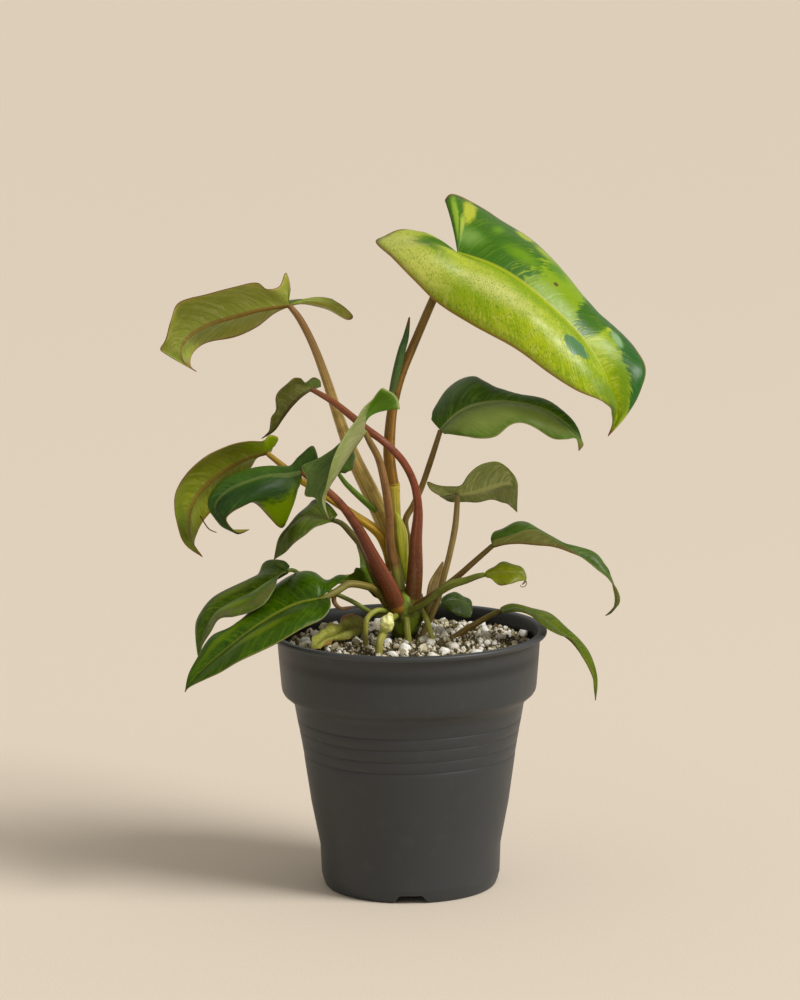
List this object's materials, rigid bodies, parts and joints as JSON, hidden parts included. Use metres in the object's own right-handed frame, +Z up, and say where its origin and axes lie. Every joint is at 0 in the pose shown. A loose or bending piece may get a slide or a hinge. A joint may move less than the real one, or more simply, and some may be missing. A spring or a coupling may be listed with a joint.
{
  "type": "potted plant",
  "caption": "Leafy foliage plant with variegated, olive and dark green arrow-shaped leaves on arching stalks, rooted in coarse mix in a tapered round nursery pot.",
  "frame": {"origin": "middle of the pot's foot, on the surface the pot stands on", "axes": "+Z up along the pot's axis, -Y towards the pictured front, +X to the picture's right"},
  "size_m": [0.2072, 0.12, 0.2983],
  "materials": {
    "pot": "satin",
    "soil": "matte",
    "crown": "satin",
    "leaf_variegated": "satin",
    "leaf_olive": "satin",
    "leaf_dark": "satin",
    "leaf_green": "satin",
    "leaf_pale": "satin",
    "leaf_yellow_green": "satin",
    "leaf_withered": "matte",
    "stalk_brown": "satin",
    "stalk_red": "satin",
    "stalk_yellow": "satin",
    "stalk_green": "satin",
    "shoot": "satin",
    "dry_sheath": "matte",
    "root": "satin",
    "bud": "satin"
  },
  "bodies": {
    "root": {"pot": "pot", "soil": "soil", "crown": "crown", "stem_sheath": "stalk_yellow", "young_shoot": "shoot", "rolled_spear": "leaf_dark", "papery_sheath": "dry_sheath", "torn_sheath": "leaf_green", "root_left": "root", "root_front": "root", "root_right": "root", "root_thick": "root", "root_bud": "bud", "blade_top_right": "leaf_variegated", "blade_top_left": "leaf_olive", "blade_red_arch": "leaf_olive", "blade_left_high": "leaf_olive", "blade_left_front": "leaf_dark", "blade_centre_folded": "leaf_pale", "blade_inner_small": "leaf_dark", "blade_left_inner": "leaf_dark", "blade_lower_left_back": "leaf_green", "blade_lower_left_front": "leaf_green", "blade_right_high": "leaf_dark", "blade_right_middle": "leaf_olive", "blade_right_long": "leaf_green", "blade_right_twisted": "leaf_yellow_green", "blade_right_hanging": "leaf_yellow_green", "blade_base_right": "leaf_dark", "blade_withered": "leaf_withered", "stalk_top_right": "stalk_brown", "stalk_top_left": "stalk_brown", "stalk_red_arch": "stalk_red", "stalk_left_high": "stalk_yellow", "stalk_left_front": "stalk_red", "stalk_centre_folded": "stalk_brown", "stalk_inner_small": "stalk_green", "stalk_left_inner": "stalk_brown", "stalk_lower_left_back": "stalk_green", "stalk_lower_left_front": "stalk_brown", "stalk_right_high": "stalk_brown", "stalk_right_middle": "stalk_brown", "stalk_right_long": "stalk_brown", "stalk_right_twisted": "stalk_green", "stalk_right_hanging": "stalk_brown", "stalk_base_right": "stalk_green"}
  },
  "joints": []
}
